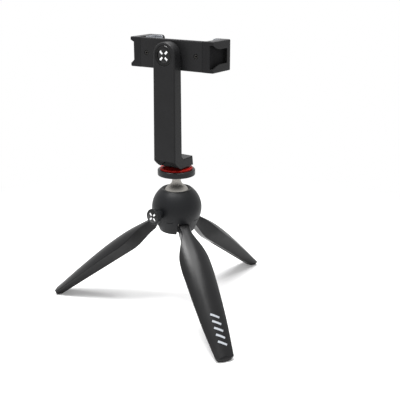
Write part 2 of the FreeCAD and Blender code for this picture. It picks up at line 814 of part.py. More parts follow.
def clamp_body():
    shell = clamp_blank(clamp_near_y, body_far_y, body_half)
    shell = rounded_edges(shell, bar_edge, lambda e: along(e, X) and e.BoundBox.YMax < clamp_near_y + 0.01)
    inner = half_bar - body_wall
    cavity = box((-body_half + body_wall, cavity_near_y, pivot_z - inner),
                 (body_half - body_wall, body_far_y + over, pivot_z + inner))
    hollow = shell.cut([cavity, rack_window(-1), rack_window(1)])
    boss = cylinder(pivot_boss_r, Vec(0, clamp_near_y + 1, pivot_z), Y, body_wall - 1 + pivot_boss_len)
    solids, cuts = [hollow, boss], []
    cuts.append(cylinder(pivot_bolt_r + running_gap, Vec(0, clamp_near_y - over, pivot_z), Y, 6 * over))
    for side in (-1, 1):
        at = Vec(side * body_screw_x, clamp_near_y, pivot_z)
        solids.append(cylinder(screw_boss_r, at + Y * screw_boss_in, Y, body_depth - screw_boss_in))
        cuts.append(cylinder(body_screw_r + seating_gap, at - Y * over, Y, 4 * over))
        cuts.append(cylinder(body_screw_head_r + cap_gap, at - Y * over, Y,
                             over + body_screw_head_t + body_screw_sink))
        solids.append(spring_post(side))
    return joined(solids).cut(cuts)


def spring_z(side):
    return pivot_z - side * (half_bar - body_wall - spring_room - spring_outer_r)


def spring_y():
    return mech_near_y + rack_depth / 2


def spring_post(side):
    """The hook post at the far end of the spring that pulls the jaw on that side."""
    x = -side * (body_half - body_wall - hook_post_in)
    base = Vec(x, cavity_near_y - hook_post_root, spring_z(side))
    return cylinder(hook_r + hook_post_wall, base, Y, body_far_y - cavity_near_y)


def clamp_cover():
    cover = clamp_blank(body_far_y, clamp_far_y, body_half)
    cover = rounded_edges(cover, bar_edge / 2, lambda e: along(e, X) and e.BoundBox.YMin > clamp_far_y - 0.01)
    holes = [cylinder(body_screw_r + seating_gap, Vec(side * body_screw_x, body_far_y - over, pivot_z), Y,
                      over + cover_t - cover_skin) for side in (-1, 1)]
    return cover.cut(holes)


def body_screws():
    screws = []
    for side in (-1, 1):
        at = Vec(side * body_screw_x, clamp_near_y + body_screw_sink, pivot_z)
        head = cylinder(body_screw_head_r, at, Y, body_screw_head_t)
        length = clamp_far_y - body_screw_short - at.y
        socket = cylinder(body_screw_socket_r, at - Y * over, Y, over + body_screw_socket_t)
        screws.append(joined([head, cylinder(body_screw_r, at, Y, length)]).cut(socket))
    return Part.makeCompound(screws)


def rest_pad():
    pad = box((-rest_pad_half_x, clamp_far_y, pivot_z - rest_pad_half_z),
              (rest_pad_half_x, clamp_far_y + rest_pad_t, pivot_z + rest_pad_half_z))
    return rounded_edges(pad, rest_pad_corner, lambda e: along(e, Y))


def involute(base_r, angle):
    cos, sin = math.cos(angle), math.sin(angle)
    return base_r * (cos + angle * sin), base_r * (sin - angle * cos)


def pinion_outline():
    """Edges of the toothed outline in X and Z, with a gap between teeth facing +Z and -Z."""
    base_r = pitch_r * math.cos(math.radians(pressure_angle))
    tip_r, root_r = pitch_r + tooth_addendum, pitch_r - tooth_dedendum
    roll_pitch = math.sqrt((pitch_r / base_r) ** 2 - 1)
    roll_tip = math.sqrt((tip_r / base_r) ** 2 - 1)
    flank_at_pitch = roll_pitch - math.atan(roll_pitch)
    half_tooth = (math.pi * module / 4 - tooth_backlash / 2) / pitch_r
    pitch_angle = 2 * math.pi / pinion_teeth
    edges = []
    first, last = None, None

    def place(x, y, turn, flip):
        r, a = math.hypot(x, y), math.atan2(y, x)
        a = turn + flip * (a - flank_at_pitch - half_tooth)
        return Vec(r * math.sin(a), 0, r * math.cos(a))

    for i in range(pinion_teeth):
        turn = pitch_angle * (i + 0.5)
        rolls = [roll_tip * k / 4 for k in range(5)]
        rising = [place(*involute(base_r, roll), turn, 1) for roll in rolls]
        falling = [place(*involute(base_r, roll), turn, -1) for roll in reversed(rolls)]
        root_in = rising[0] * (root_r / base_r)
        root_out = falling[-1] * (root_r / base_r)
        if last is None:
            first = root_in
        else:
            edges.append(Part.makeLine(last, root_in))
        edges.append(Part.makeLine(root_in, rising[0]))
        edges.append(spline(rising))
        edges.append(Part.makeLine(rising[-1], falling[0]))
        edges.append(spline(falling))
        edges.append(Part.makeLine(falling[-1], root_out))
        last = root_out
    edges.append(Part.makeLine(last, first))
    return edges


def spline(points):
    curve = Part.BSplineCurve()
    curve.interpolate(points)
    return curve.toShape()


def pinion():
    wheel = Part.Face(Part.Wire(pinion_outline())).extrude(Y * pinion_t)
    wheel.translate(Vec(0, mech_near_y, pivot_z))
    bore = cylinder(pivot_boss_r + running_gap, Vec(0, mech_near_y - over, pivot_z), Y, 3 * over)
    return wheel.cut(bore)


def rack(side):
    """A rack drawn for the left jaw, above the pinion, turned about Y for the right one."""
    pitch = math.pi * module
    root = pitch_r + tooth_dedendum
    bar = box((-body_half - rack_root_in_jaw, mech_near_y, root),
              (rack_tail, mech_near_y + rack_depth, rack_back))
    lean = math.tan(math.radians(pressure_angle))
    half_pitch_line = pitch / 4 - tooth_backlash / 2
    half_tip = half_pitch_line - tooth_addendum * lean
    half_root = half_pitch_line + tooth_dedendum * lean
    tip = pitch_r - tooth_addendum
    pieces = [bar]
    for i in range(rack_teeth):
        x = pitch * (i - 1)
        ring = [(x - half_root, root), (x - half_tip, tip), (x + half_tip, tip), (x + half_root, root)]
        pieces.append(prism([(px, mech_near_y, pz) for px, pz in ring], Y * pinion_t))
    hook = cylinder(hook_r, Vec(rack_tail - hook_in, spring_y(), root + hook_floor), Z, rack_back - root)
    neck = box((-body_half - rack_root_in_jaw, mech_near_y, tip),
               (-body_half + body_wall, mech_near_y + rack_depth, root))
    bar = joined(pieces + [neck]).cut(hook)
    if side > 0:
        bar.rotate(Vec(), Y, 180)
    bar.translate(Z * pivot_z)
    return bar


def jaw_spring(side):
    """A close-wound spring from the rack's tail to the post in the body, drawn as its sleeve and hooks."""
    start, end = rack_tail + spring_clear, body_half - body_wall - hook_post_in
    radius = spring_outer_r
    axis = Vec(0, spring_y(), spring_z(-1) - pivot_z)
    length = end - start - spring_stop
    coil = tube(radius, radius - 2 * spring_wire, axis + X * start, X, length)
    plug = cylinder(radius, axis + X * (start + length), X, spring_wire)
    hook = cylinder(spring_wire / 2, axis + X * (start + length), X, hook_reach)
    spring = joined([coil, plug, hook])
    if side > 0:
        spring.rotate(Vec(), Y, 180)
    spring.translate(Z * pivot_z)
    return spring


def shoe_channel():
    """The accessory channel in a jaw's end face, open towards the near side."""
    back = jaw_end - shoe_slot - shoe_lip
    near, stop = jaw_near_y - over, jaw_near_y + shoe_stop
    parallel = jaw_near_y + shoe_lip_start
    slot = box((back, near, -shoe_height / 2), (jaw_end - shoe_lip, stop, shoe_height / 2))
    mouth = box((back, near, -shoe_mouth / 2), (jaw_end + over, stop, shoe_mouth / 2))
    lead = box((back, near, -shoe_height / 2), (jaw_end + over, parallel, shoe_height / 2))
    for up in (-1, 1):
        centre = Vec(back - over, parallel, up * (shoe_mouth / 2 + shoe_lead_r))
        lead = lead.cut(cylinder(shoe_lead_r, centre, X, jaw_end - back + 3 * over))
    return joined([slot, mouth, lead])


def jaw(side):
    """A jaw drawn for the right side about the bar's axis, turned about Y for the left."""
    low = body_half + split_gap
    lip_end = jaw_wall_inner - lip_reach
    block_far = jaw_near_y + jaw_block_depth
    ring = [
        (low, jaw_near_y), (jaw_end, jaw_near_y), (jaw_end, jaw_far_y), (lip_end, jaw_far_y),
        (lip_end, jaw_far_y - lip_t), (jaw_wall_inner, jaw_far_y - lip_t),
        (jaw_wall_inner, block_far), (low, block_far),
    ]
    body = prism([(px, py, -half_bar) for px, py in ring], Z * bar_height)
    outer_corner = (jaw_end, jaw_far_y)
    body = rounded_edges(body, jaw_outer_r, lambda e: along(e, Z) and stands_at(e, outer_corner))
    body = rounded_edges(body, jaw_edge, jaw_outer_edge)
    socket = box((low - over, mech_near_y - seating_gap, -rack_back - seating_gap),
                 (body_half + rack_root_in_jaw + seating_gap, mech_near_y + rack_depth + seating_gap,
                  -pitch_r + tooth_addendum + seating_gap))
    body = body.cut(lip_corners() + block_slopes() + [shoe_channel(), socket])
    if side < 0:
        body.rotate(Vec(), Y, 180)
    body.translate(Z * pivot_z)
    return body


def stands_at(edge, spot):
    middle = edge.BoundBox.Center
    return math.hypot(middle.x - spot[0], middle.y - spot[1]) < 0.01


def lip_corners():
    """What is cut off a jaw's lip and its pad to round their corners."""
    lip_end = jaw_wall_inner - lip_reach
    tools = []
    for up in (-1, 1):
        at_x, at_z = lip_end + jaw_lip_corner, up * (half_bar - jaw_lip_corner)
        z_low, z_high = sorted((at_z, up * (half_bar + over)))
        corner = box((lip_end - over, jaw_far_y - lip_t - over, z_low), (at_x, jaw_far_y + over, z_high))
        tools.append(corner.cut(cylinder(jaw_lip_corner, Vec(at_x, jaw_near_y, at_z), Y, 8 * over)))
    return tools


def block_slopes():
    """What is cut off a jaw's block so that its top and bottom run on from the bar's."""
    block_far = jaw_near_y + jaw_block_depth
    blank = box((body_half, jaw_near_y - over, -bar_height), (jaw_wall_inner, block_far + over, bar_height))
    keep = [(body_half - over, y, z) for y, z in bar_section(jaw_near_y, block_far)]
    middle = prism(keep, X * 4 * over)
    before = box((body_half - over, jaw_near_y - 2 * over, -bar_height), (jaw_end, jaw_near_y, bar_height))
    return [blank.cut([middle, before])]


def jaw_outer_edge(edge):
    """The top and bottom edges all round the outside of a jaw."""
    bounds = edge.BoundBox
    level = bounds.ZMax - bounds.ZMin < 0.01
    near = bounds.YMax < jaw_near_y + 0.01
    outside = bounds.XMin > jaw_end - jaw_outer_r - 0.01 and bounds.XMax > jaw_end - jaw_outer_r + 0.01
    far = bounds.YMin > jaw_far_y - 0.01
    return level and (near or outside or far)


def jaw_pad(side):
    low = jaw_near_y + jaw_block_depth + jaw_pad_low
    high = jaw_far_y - lip_t
    half = half_bar - jaw_pad_margin
    inner, hook_end = jaw_wall_inner - jaw_pad_t, jaw_wall_inner - lip_reach + jaw_pad_margin
    wall = box((inner, low, -half), (jaw_wall_inner, high, half))
    hook = box((hook_end, high - jaw_pad_t, -half), (jaw_wall_inner, high, half))
    grooves = []
    for up in (-1, 1):
        z_low, z_high = sorted((up * jaw_pad_groove_z, up * (jaw_pad_groove_z + jaw_pad_groove)))
        grooves.append(box((inner - over, low - over, z_low), (inner + jaw_pad_groove, high, z_high)))
        near = high - jaw_pad_t
        grooves.append(box((hook_end - over, near - over, z_low), (inner, near + jaw_pad_groove, z_high)))
    pad = joined([wall, hook]).cut(lip_corners() + grooves)
    if side < 0:
        pad.rotate(Vec(), Y, 180)
    pad.translate(Z * pivot_z)
    return pad


def main():
    os.makedirs("parts", exist_ok=True)
    save("hub_base", hub_base())
    save("head_shell", head_shell())
    save("ball_liner", ball_liner())
    save("ball_seat", ball_seat())
    save("seat_springs", seat_springs())
    save("release_fork", release_fork())
    save("button_cap", button_cap())
    pieces = leg_pieces()
    washers = []
    for number, azimuth in enumerate(leg_azimuths, 1):
        for name, shape in pieces.items():
            save(f"{name}_{number}", at_azimuth(shape, azimuth))
        save(f"leg_pin_{number}", at_azimuth(leg_pin(), azimuth))
        washers += [at_azimuth(washer, azimuth) for washer in leg_washers()]
    save("leg_washers", Part.makeCompound(washers))
    save("ball_stud", ball_stud())
    save("platform_disc", platform_disc())
    save("platform_pad", platform_pad())
    save("mount_screw", mount_screw())
    save("bracket", bracket())
    save("thread_insert", thread_insert())
    save("pivot_cap", pivot_cap())
    save("pivot_bolt", pivot_bolt())
    save("pivot_washer", pivot_washer())
    save("pivot_nut", pivot_nut())
    save("clamp_body", clamp_body())
    save("clamp_cover", clamp_cover())
    save("body_screws", body_screws())
    save("rest_pad", rest_pad())
    save("pinion", pinion())
    for side, word in ((-1, "left"), (1, "right")):
        save(f"jaw_{word}", jaw(side))
        save(f"jaw_pad_{word}", jaw_pad(side))
        save(f"rack_{word}", rack(side))
        save(f"jaw_spring_{word}", jaw_spring(side))


main()
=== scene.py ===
import json
import math
import bmesh
import bpy
from mathutils import Matrix, Vector

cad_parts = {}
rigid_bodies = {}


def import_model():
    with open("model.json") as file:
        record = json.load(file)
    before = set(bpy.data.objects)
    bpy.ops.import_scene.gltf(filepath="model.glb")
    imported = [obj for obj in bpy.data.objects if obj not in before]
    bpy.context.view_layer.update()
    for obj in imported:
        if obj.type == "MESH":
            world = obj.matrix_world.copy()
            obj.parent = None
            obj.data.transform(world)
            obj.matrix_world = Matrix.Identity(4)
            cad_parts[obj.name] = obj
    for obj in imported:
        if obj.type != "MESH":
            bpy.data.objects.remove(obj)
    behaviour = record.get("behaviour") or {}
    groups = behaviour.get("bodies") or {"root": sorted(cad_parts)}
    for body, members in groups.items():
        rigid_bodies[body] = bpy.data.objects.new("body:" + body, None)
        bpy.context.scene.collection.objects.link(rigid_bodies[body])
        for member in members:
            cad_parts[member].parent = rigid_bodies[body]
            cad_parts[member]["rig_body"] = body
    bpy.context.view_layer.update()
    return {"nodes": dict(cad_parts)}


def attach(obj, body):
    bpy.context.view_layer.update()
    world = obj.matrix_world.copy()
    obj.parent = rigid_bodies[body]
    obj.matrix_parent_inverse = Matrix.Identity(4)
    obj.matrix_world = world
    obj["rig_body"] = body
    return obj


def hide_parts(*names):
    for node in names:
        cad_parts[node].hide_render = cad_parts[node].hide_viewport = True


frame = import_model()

nodes = frame["nodes"]
mm = 0.001
pivotHeight = 221.6         # millimetres from the floor to the clamp's pivot
markThick = 0.06            # millimetres of ink


def hexColour(text):
    channels = [int(text[i:i + 2], 16) / 255 for i in (1, 3, 5)]
    linear = [c / 12.92 if c <= 0.04045 else ((c + 0.055) / 1.055) ** 2.4 for c in channels]
    return (*linear, 1.0)


def addNode(tree, kind, settings=None, inputs=None):
    node = tree.nodes.new(kind)
    for name, value in (settings or {}).items():
        setattr(node, name, value)
    for name, value in (inputs or {}).items():
        if isinstance(value, bpy.types.NodeSocket):
            tree.links.new(value, node.inputs[name])
        else:
            node.inputs[name].default_value = value
    return node


def perMetre(size):
    return 1 / (size * mm)      # noise scale for a feature of that many millimetres


def metres(*sizes):
    return tuple(size * mm for size in sizes)


def settlePiece(piece, material, body, stands=()):
    piece.data.materials.clear()
    piece.data.materials.append(material)
    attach(piece, body)
    if stands:
        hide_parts(*stands)
    return piece


def linkedPiece(name, mesh):
    piece = bpy.data.objects.new(name, mesh)
    bpy.context.scene.collection.objects.link(piece)
    return piece


def bakeModifiers(piece):
    graph = bpy.context.evaluated_depsgraph_get()
    mesh = bpy.data.meshes.new_from_object(piece.evaluated_get(graph), depsgraph=graph)
    mesh.name = piece.name
    piece.modifiers.clear()
    piece.data = mesh
    return mesh


meshing = {
    "mergeWithin": 0.0008,      # millimetres
    "thinBelow": 0.0005,
    "ringWithin": 0.0001,
    "flatWithin": 0.25,         # degrees
    "creaseFrom": 40,
    "edgeSteps": 2,
    "flatShare": 60,            # how far broad faces keep their own shading beside a broken edge
}


# One connected mesh from a solid's loose triangles
def mergedCopy(node):
    source = nodes[node].data
    shape = bmesh.new()
    corners = [shape.verts.new(v.co) for v in source.vertices]
    for polygon in source.polygons:
        try:
            shape.faces.new([corners[i] for i in polygon.vertices])
        except ValueError:
            pass                # a facet that is already there
    bmesh.ops.remove_doubles(shape, verts=shape.verts, dist=meshing["mergeWithin"] * mm)
    bmesh.ops.dissolve_degenerate(shape, edges=shape.edges, dist=meshing["thinBelow"] * mm)
    bmesh.ops.dissolve_limit(
        shape, angle_limit=math.radians(meshing["flatWithin"]), verts=shape.verts, edges=shape.edges)
    return shape


# A solid with its sharp edges broken, as a mould or a file leaves them
def softEdged(part):
    node = part["node"]
    shape = mergedCopy(node)
    for face in shape.faces:
        face.smooth = True
    mesh = bpy.data.meshes.new(node)
    shape.to_mesh(mesh)
    shape.free()
    piece = linkedPiece("skin_" + node, mesh)
    bevel = piece.modifiers.new("edge", "BEVEL")
    bevel.width = part["edge"] * mm
    bevel.segments = meshing["edgeSteps"]
    bevel.limit_method = "ANGLE"
    bevel.angle_limit = math.radians(part["limit"])
    bevel.use_clamp_overlap = True
    bevel.harden_normals = False
    weighted = piece.modifiers.new("normals", "WEIGHTED_NORMAL")
    weighted.keep_sharp = False
    weighted.weight = meshing["flatShare"]
    bakeModifiers(piece)
    return settlePiece(piece, part["material"], nodes[node]["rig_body"], [node])


# A turned mesh about any axis; a profile entry is (radius, height) or (across flats / 2, height, "hex")
def turnedMesh(name, profile, centre, axis, count, capped=True):
    axis = Vector(axis).normalized()
    turn = axis.to_track_quat("Z", "X").to_matrix()
    rings = []
    shape = bmesh.new()
    for entry in profile:
        ring = []
        for i in range(count):
            angle = 2 * math.pi * i / count
            radius = entry[0]
            if len(entry) == 3:
                radius /= math.cos((angle + math.pi / 6) % (math.pi / 3) - math.pi / 6)
            place = Vector((radius * math.cos(angle), radius * math.sin(angle), entry[1])) * mm
            ring.append(shape.verts.new(Vector(centre) * mm + turn @ place))
        rings.append(ring)
    for low, high in zip(rings, rings[1:]):
        for i in range(count):
            j = (i + 1) % count
            shape.faces.new([low[i], low[j], high[j], high[i]])
    if capped:
        shape.faces.new(list(reversed(rings[0])))
        shape.faces.new(rings[-1])
    # Closes a profile that ends where it began
    bmesh.ops.remove_doubles(shape, verts=shape.verts, dist=meshing["ringWithin"] * mm)
    bmesh.ops.recalc_face_normals(shape, faces=shape.faces)
    mesh = bpy.data.meshes.new(name)
    shape.to_mesh(mesh)
    shape.free()
    for polygon in mesh.polygons:
        polygon.use_smooth = True
    mesh.set_sharp_from_angle(angle=math.radians(meshing["creaseFrom"]))
    return mesh


placing = {"Place": "Vector", "Turn": "Vector", "Material": "Material"}


# Geometry tree with named inputs for its sizes and its place; returns the tree and its input node
def startTree(name, sizes):
    tree = bpy.data.node_groups.new(name, "GeometryNodeTree")
    for label, kind in {**sizes, **placing}.items():
        tree.interface.new_socket(name=label, in_out="INPUT", socket_type="NodeSocket" + kind)
    tree.interface.new_socket(name="Geometry", in_out="OUTPUT", socket_type="NodeSocketGeometry")
    return tree, addNode(tree, "NodeGroupInput")


# Last nodes of a tree: turn and place the parts, make them real and give them their material
def endTree(tree, sizes, geometry):
    turn = addNode(tree, "FunctionNodeEulerToRotation", inputs={0: sizes.outputs["Turn"]})
    real = addNode(tree, "GeometryNodeRealizeInstances", inputs={"Geometry": geometry})
    placed = addNode(tree, "GeometryNodeTransform", inputs={
        "Geometry": real.outputs[0], "Translation": sizes.outputs["Place"], "Rotation": turn.outputs[0]})
    coloured = addNode(tree, "GeometryNodeSetMaterial", inputs={
        "Geometry": placed.outputs[0], "Material": sizes.outputs["Material"]})
    addNode(tree, "NodeGroupOutput", inputs={"Geometry": coloured.outputs[0]})


# A piece grown by a tree; its sizes are in metres and its turns in radians
def growPiece(name, tree, values, material, body, stands=(), crease=meshing["creaseFrom"]):
    piece = linkedPiece(name, bpy.data.meshes.new(name))
    modifier = piece.modifiers.new("grow", "NODES")
    modifier.node_group = tree
    values = {"Place": (0, 0, 0), "Turn": (0, 0, 0), **values, "Material": material}
    for item in tree.interface.items_tree:
        if item.in_out == "INPUT":
            modifier[item.identifier] = values[item.name]
    mesh = bakeModifiers(piece)
    for polygon in mesh.polygons:
        polygon.use_smooth = True
    mesh.set_sharp_from_angle(angle=math.radians(crease))
    print("  grown", name, len(mesh.polygons), "faces")
    return settlePiece(piece, material, body, stands)


cameraSpot = {
    "place": (0.353922, -0.494374, 0.295361),
    "looking": (-0.527168, 0.790629, -0.311447),
    "lens": 66.319,             # millimetres
    "sensor": 36.0,
    "near": 0.01,
    "far": 50,
}
cameraData = bpy.data.cameras.new("camera")
cameraData.lens = cameraSpot["lens"]
cameraData.sensor_width = cameraSpot["sensor"]
cameraData.clip_start = cameraSpot["near"]
cameraData.clip_end = cameraSpot["far"]
camera = bpy.data.objects.new("camera", cameraData)
bpy.context.scene.collection.objects.link(camera)
camera.location = cameraSpot["place"]
camera.rotation_mode = "QUATERNION"
camera.rotation_quaternion = Vector(cameraSpot["looking"]).to_track_quat("-Z", "Y")
bpy.context.scene.camera = camera

studio = {
    "floorHalf": 6.0,           # metres
    "floorDrop": 0.00002,
    "floorColour": "#f2f2f2",
    "floorLift": 0.17,          # added where the camera sees the floor
    "fadeFrom": 0.16,           # metres from the middle to where the floor starts to run out to white
    "fadeTo": 0.42,
    "worldStrength": 0.42,
    "worldColour": "#ffffff",
    "lamps": [
        # name, place, aimed at, width, depth, watts, whether it leaves a highlight
        ("overhead", (0.06, 0.0, 1.12), (0.03, 0.0, 0.1), 0.74, 0.66, 14.0, True),
        ("front", (-0.2, -0.26, 1.02), (0.0, 0.0, 0.1), 0.3, 0.3, 6.5, True),
        ("side", (-1.2, -0.5, 0.75), (0.0, 0.0, 0.12), 0.7, 0.9, 3.5, False),
    ],
}


# One where the camera, glass or a reflection looks, and nought for the light that falls on the object
def lookedAt(tree):
    path = addNode(tree, "ShaderNodeLightPath")
    direct = addNode(tree, "ShaderNodeMath", {"operation": "MAXIMUM"},
                     {0: path.outputs["Is Camera Ray"], 1: path.outputs["Is Transmission Ray"]})
    either = addNode(tree, "ShaderNodeMath", {"operation": "MAXIMUM"},
                     {0: direct.outputs[0], 1: path.outputs["Is Glossy Ray"]})
    return either.outputs[0]


def makeFloor(values):
    half = values["floorHalf"]
    level = -values["floorDrop"]
    corners = [(-half, -half, level), (half, -half, level), (half, half, level), (-half, half, level)]
    mesh = bpy.data.meshes.new("floor")
    mesh.from_pydata(corners, [], [(0, 1, 2, 3)])
    floor = bpy.data.objects.new("floor", mesh)
    bpy.context.scene.collection.objects.link(floor)
    material = bpy.data.materials.new("seamlessPaper")      # matt paper sweep, lit evenly
    material.use_nodes = True
    tree = material.node_tree
    tree.nodes.clear()
    paper = addNode(tree, "ShaderNodeBsdfDiffuse", inputs={"Color": hexColour(values["floorColour"])})
    seen = lookedAt(tree)
    lift = addNode(tree, "ShaderNodeMath", {"operation": "MULTIPLY"},
                   {0: seen, 1: values["floorLift"]})
    glow = addNode(tree, "ShaderNodeEmission", inputs={"Color": (1, 1, 1, 1), "Strength": lift.outputs[0]})
    near = addNode(tree, "ShaderNodeAddShader", inputs={0: paper.outputs[0], 1: glow.outputs[0]})
    place = addNode(tree, "ShaderNodeTexCoord")
    away = addNode(tree, "ShaderNodeVectorMath", {"operation": "LENGTH"}, {0: place.outputs["Object"]})
    fade = addNode(tree, "ShaderNodeMapRange", {"interpolation_type": "SMOOTHSTEP"}, {
        "Value": away.outputs["Value"], "From Min": values["fadeFrom"], "From Max": values["fadeTo"]})
    share = addNode(tree, "ShaderNodeMath", {"operation": "MULTIPLY"}, {0: fade.outputs[0], 1: seen})
    white = addNode(tree, "ShaderNodeEmission", inputs={"Color": (1, 1, 1, 1), "Strength": 1.0})
    both = addNode(tree, "ShaderNodeMixShader",
                   inputs={0: share.outputs[0], 1: near.outputs[0], 2: white.outputs[0]})
    clear = addNode(tree, "ShaderNodeBsdfTransparent")
    side = addNode(tree, "ShaderNodeNewGeometry")
    mixed = addNode(tree, "ShaderNodeMixShader",
                    inputs={0: side.outputs["Backfacing"], 1: both.outputs[0], 2: clear.outputs[0]})
    addNode(tree, "ShaderNodeOutputMaterial", inputs={"Surface": mixed.outputs[0]})
    mesh.materials.append(material)


def makeLight(values):
    world = bpy.data.worlds.new("studio")
    bpy.context.scene.world = world
    world.use_nodes = True
    tree = world.node_tree
    tree.nodes.clear()
    seen = lookedAt(tree)
    strength = addNode(tree, "ShaderNodeMapRange",
                       inputs={"Value": seen, "To Min": values["worldStrength"], "To Max": 1.0})
    sky = addNode(tree, "ShaderNodeBackground",
                  inputs={"Color": hexColour(values["worldColour"]), "Strength": strength.outputs[0]})
    addNode(tree, "ShaderNodeOutputWorld", inputs={"Surface": sky.outputs[0]})
    for name, place, aim, width, depth, watts, highlight in values["lamps"]:
        lamp = bpy.data.lights.new(name, "AREA")
        lamp.shape = "RECTANGLE"
        lamp.size = width
        lamp.size_y = depth
        lamp.energy = watts
        holder = bpy.data.objects.new(name, lamp)
        bpy.context.scene.collection.objects.link(holder)
        holder.location = place
        holder.rotation_mode = "QUATERNION"
        holder.rotation_quaternion = (Vector(aim) - Vector(place)).to_track_quat("-Z", "Y")
        holder.visible_camera = False
        holder.visible_glossy = highlight


makeFloor(studio)
makeLight(studio)
bpy.context.scene.view_settings.view_transform = "Standard"
print("camera, floor and light are set")


pattern = {
    "patchSize": 14.0,          # millimetres across a patch of slightly other colour and polish
    "patchDetail": 3.0,
    "patchRough": 0.55,
    "patchLow": 0.3,            # the noise's usual range
    "patchHigh": 0.7,
    "grainDetail": 2.0,
    "grainRough": 0.6,
}


# Base of every finish: two close colours that drift over the surface, a roughness
# that drifts with them, and a grain that catches the light
def surface(name, colour, drift, roughness, spread, grain, depth, metal=0.0, settings=None):
    material = bpy.data.materials.new(name)
    material.use_nodes = True
    tree = material.node_tree
    tree.nodes.clear()
    place = addNode(tree, "ShaderNodeTexCoord")
    cloud = addNode(tree, "ShaderNodeTexNoise", inputs={
        "Vector": place.outputs["Object"], "Scale": perMetre(pattern["patchSize"]),
        "Detail": pattern["patchDetail"], "Roughness": pattern["patchRough"]})
    paint = addNode(tree, "ShaderNodeMix", {"data_type": "RGBA"}, {
        "Factor": cloud.outputs[0], 6: hexColour(colour), 7: hexColour(drift)})
    polish = addNode(tree, "ShaderNodeMapRange", inputs={
        "Value": cloud.outputs[0], "From Min": pattern["patchLow"], "From Max": pattern["patchHigh"],
        "To Min": roughness - spread, "To Max": roughness + spread})
    pits = addNode(tree, "ShaderNodeTexNoise", inputs={
        "Vector": place.outputs["Object"], "Scale": perMetre(grain),
        "Detail": pattern["grainDetail"], "Roughness": pattern["grainRough"]})
    relief = addNode(tree, "ShaderNodeBump", inputs={
        "Height": pits.outputs[0], "Distance": depth * mm, "Strength": 1.0})
    shader = addNode(tree, "ShaderNodeBsdfPrincipled", inputs={
        "Base Color": paint.outputs[2], "Roughness": polish.outputs[0], "Metallic": metal,
        "Normal": relief.outputs[0], **(settings or {})})
    addNode(tree, "ShaderNodeOutputMaterial", inputs={"Surface": shader.outputs[0]})
    return material


# Glass-filled nylon from a spark-eroded mould: near black, and its fine pitting turns every
# reflection into a broad satin glow. The real grain is about 0.1 mm; it is drawn three times
# as coarse, so that it shows.
moulded = surface("sparkTexturedNylon", "#1c1c1d", "#212122", 0.37, 0.04, 0.32, 0.008,
                  settings={"IOR": 1.5, "Specular IOR Level": 0.17})
# The legs are handled most, so their texture is rubbed smooth and takes a brighter, silkier highlight
legNylon = surface("handRubbedNylon", "#121213", "#161617", 0.3, 0.015, 0.32, 0.006,
                   settings={"IOR": 1.5, "Specular IOR Level": 0.22})
# The ball's housing: the same nylon from a finer, duller texture, so its glow spreads wide and its
# shaded side stays deep and cool
housing = surface("fineTexturedNylon", "#141517", "#191a1c", 0.43, 0.03, 0.28, 0.006,
                  settings={"IOR": 1.5, "Specular IOR Level": 0.18})
# Inner faces of the nylon, left coarse by the spark: matt, so they stay dark where light rakes them. Their
# colour is also set darker than the body nylon, as painted shade for the hollows where it is used
coarseNylonPaintedShade = surface("coarseSparkedNylon", "#141415", "#19191a", 0.8, 0.05, 0.5, 0.03,
                      settings={"IOR": 1.5, "Specular IOR Level": 0.1})
# Polycarbonate blend of the jaws, textured like the body but softer under side light
jawPlastic = surface("texturedPolycarbonate", "#1d1d1e", "#222223", 0.37, 0.04, 0.3, 0.008,
                     settings={"IOR": 1.53, "Specular IOR Level": 0.1})
# Acrylic moulded against a polished face: deep black that mirrors the room
glossInlay = surface("polishedAcrylic", "#0a0a0b", "#0d0d0e", 0.16, 0.03, 2.5, 0.002,
                     settings={"IOR": 1.49, "Specular IOR Level": 0.35})
# Pad-printed two-part ink: flat, even, and a little duller than the plastic round it
whiteInk = surface("padPrintedWhiteInk", "#f1f2f3", "#eaebec", 0.5, 0.04, 0.4, 0.003,
                   settings={"IOR": 1.48})
greyInk = surface("padPrintedGreyInk", "#a9adb3", "#a3a7ad", 0.5, 0.04, 0.4, 0.003,
                  settings={"IOR": 1.48})
# Turned stainless steel, vapour blasted: an even satin that smears the room into soft bands
satinSteel = surface("vapourBlastedStainlessSteel", "#b0ada8", "#a6a39e", 0.53, 0.03, 0.25, 0.004, metal=1.0)
# Zinc plating over steel: bright, with the faint cloudiness of the bath
platedSteel = surface("zincPlatedSteel", "#b9bbbd", "#a9abae", 0.28, 0.05, 0.3, 0.003, metal=1.0)
# Black oxide on cap screws: oily dark grey that still flashes on its edges
blackSteel = surface("blackOxideSteel", "#4a4947", "#413f3e", 0.33, 0.05, 0.3, 0.004, metal=1.0)
# Free-cutting brass, turned bright: a warm gleam that stays sharp
brassTurned = surface("turnedBrass", "#c9a35a", "#bd9750", 0.26, 0.04, 0.5, 0.003, metal=1.0)
# Acetal of the sliding parts: milky and waxy, with a soft sheen along its edges
acetal = surface("mouldedAcetal", "#c2c0b8", "#b8b6ae", 0.4, 0.04, 0.6, 0.004, settings={"IOR": 1.48})
# Thermoplastic elastomer of the feet: matt, so grazing light hardly lifts it
footRubber = surface("mouldedElastomer", "#1a1a1a", "#202020", 0.74, 0.06, 0.5, 0.02,
                     settings={"IOR": 1.5, "Specular IOR Level": 0.25})
# Grey silicone of the grips: chalky and bluish against the black
greyRubber = surface("mouldedGreySilicone", "#a3a6ab", "#999ca1", 0.62, 0.05, 0.6, 0.015,
                     settings={"IOR": 1.43})
# Red silicone, transfer moulded: strong colour with a slight skin gloss at its rim
redRubber = surface("mouldedRedSilicone", "#a3160d", "#95130b", 0.38, 0.05, 0.6, 0.008,
                    settings={"IOR": 1.43, "Specular IOR Level": 0.12})
# The same silicone left rough where the heel grips it, with no skin gloss; its darker red is painted shade from
# the heel above it
mattRedPaintedShade = surface("roughRedSilicone", "#6d0f0a", "#620d08", 0.7, 0.05, 0.6, 0.012,
                  settings={"IOR": 1.43, "Specular IOR Level": 0.1})
